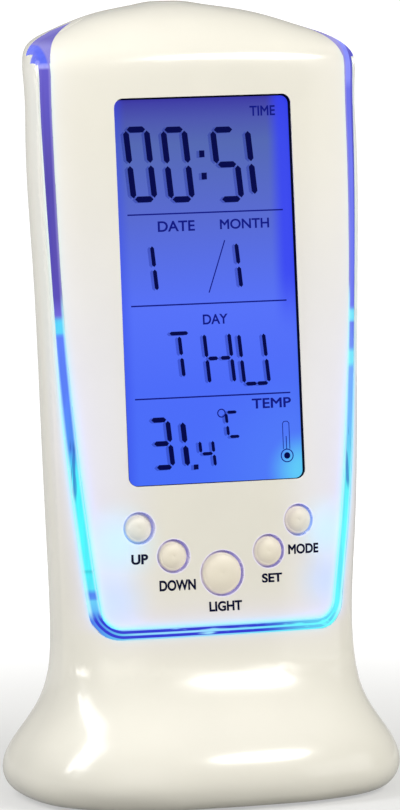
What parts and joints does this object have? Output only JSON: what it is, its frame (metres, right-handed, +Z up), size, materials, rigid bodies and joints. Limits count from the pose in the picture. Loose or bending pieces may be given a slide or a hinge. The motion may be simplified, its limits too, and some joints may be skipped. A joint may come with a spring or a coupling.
{
  "type": "digital led desk clock",
  "caption": "Upright digital desk clock with a tall blue display, round buttons in an arc, a lit clear strip round its front cover and a flared foot.",
  "frame": {"origin": "centre of the bounding box's bottom, on the surface that the clock stands on", "axes": "+Z up, -Y out of the front, +X to the right as seen from the front"},
  "size_m": [0.0752, 0.056, 0.1499],
  "materials": {
    "white_shell": "glossy",
    "white_buttons": "glossy",
    "white_matte": "satin",
    "clear_ring": "clear, lit blue",
    "display_glass": "smooth",
    "display_film": "lit blue",
    "light_guide": "clear",
    "lamp": "clear resin",
    "rubber": "matte",
    "circuit_board": "solder mask",
    "black_resin": "satin",
    "switch_metal": "plated",
    "steel": "zinc plated",
    "foam": "open foam",
    "cell_wrap": "plain sleeve"
  },
  "bodies": {
    "root": {"backlight_guide": "light_guide", "backlight_leds": "lamp", "backlight_reflector": "white_matte", "base_plate": "white_matte", "base_screws": "steel", "battery_cells": "cell_wrap", "case_screws": "steel", "contact_plates": "steel", "contact_springs": "steel", "controller_chip": "black_resin", "front_cover": "white_shell", "lcd_frame": "white_matte", "lcd_front_glass": "display_glass", "lcd_front_polarizer": "display_film", "lcd_rear_glass": "display_glass", "lcd_rear_polarizer": "display_film", "light_ring": "clear_ring", "main_housing": "white_shell", "main_pcb": "circuit_board", "pcb_screws": "steel", "quartz_crystal": "steel", "ring_leds": "lamp", "rubber_feet": "rubber", "speaker_basket": "steel", "speaker_cone": "black_resin", "speaker_gasket": "foam", "speaker_magnet": "steel", "switch_bodies": "switch_metal", "thermistor": "black_resin", "zebra_strips": "rubber"},
    "battery_door": {"battery_door": "white_shell"},
    "up_button": {"up_button": "white_buttons", "up_plunger": "black_resin"},
    "down_button": {"down_button": "white_buttons", "down_plunger": "black_resin"},
    "light_button": {"light_button": "white_buttons", "light_plunger": "black_resin"},
    "set_button": {"set_button": "white_buttons", "set_plunger": "black_resin"},
    "mode_button": {"mode_button": "white_buttons", "mode_plunger": "black_resin"}
  },
  "joints": [
    {"name": "up_press", "type": "slide", "parent": "root", "child": "up_button", "axis": [0, 0.9961, -0.0879], "range_m": [0, 0.0005], "stiffness_N_per_m": 400},
    {"name": "down_press", "type": "slide", "parent": "root", "child": "down_button", "axis": [0, 0.9961, -0.0879], "range_m": [0, 0.0005], "stiffness_N_per_m": 400},
    {"name": "light_press", "type": "slide", "parent": "root", "child": "light_button", "axis": [0, 0.9961, -0.0879], "range_m": [0, 0.0005], "stiffness_N_per_m": 400},
    {"name": "set_press", "type": "slide", "parent": "root", "child": "set_button", "axis": [0, 0.9961, -0.0879], "range_m": [0, 0.0005], "stiffness_N_per_m": 400},
    {"name": "mode_press", "type": "slide", "parent": "root", "child": "mode_button", "axis": [0, 0.9961, -0.0879], "range_m": [0, 0.0005], "stiffness_N_per_m": 400},
    {"name": "battery_door_lift", "type": "slide", "parent": "root", "child": "battery_door", "axis": [0, 1, 0], "range_m": [0, 0.03]}
  ]
}
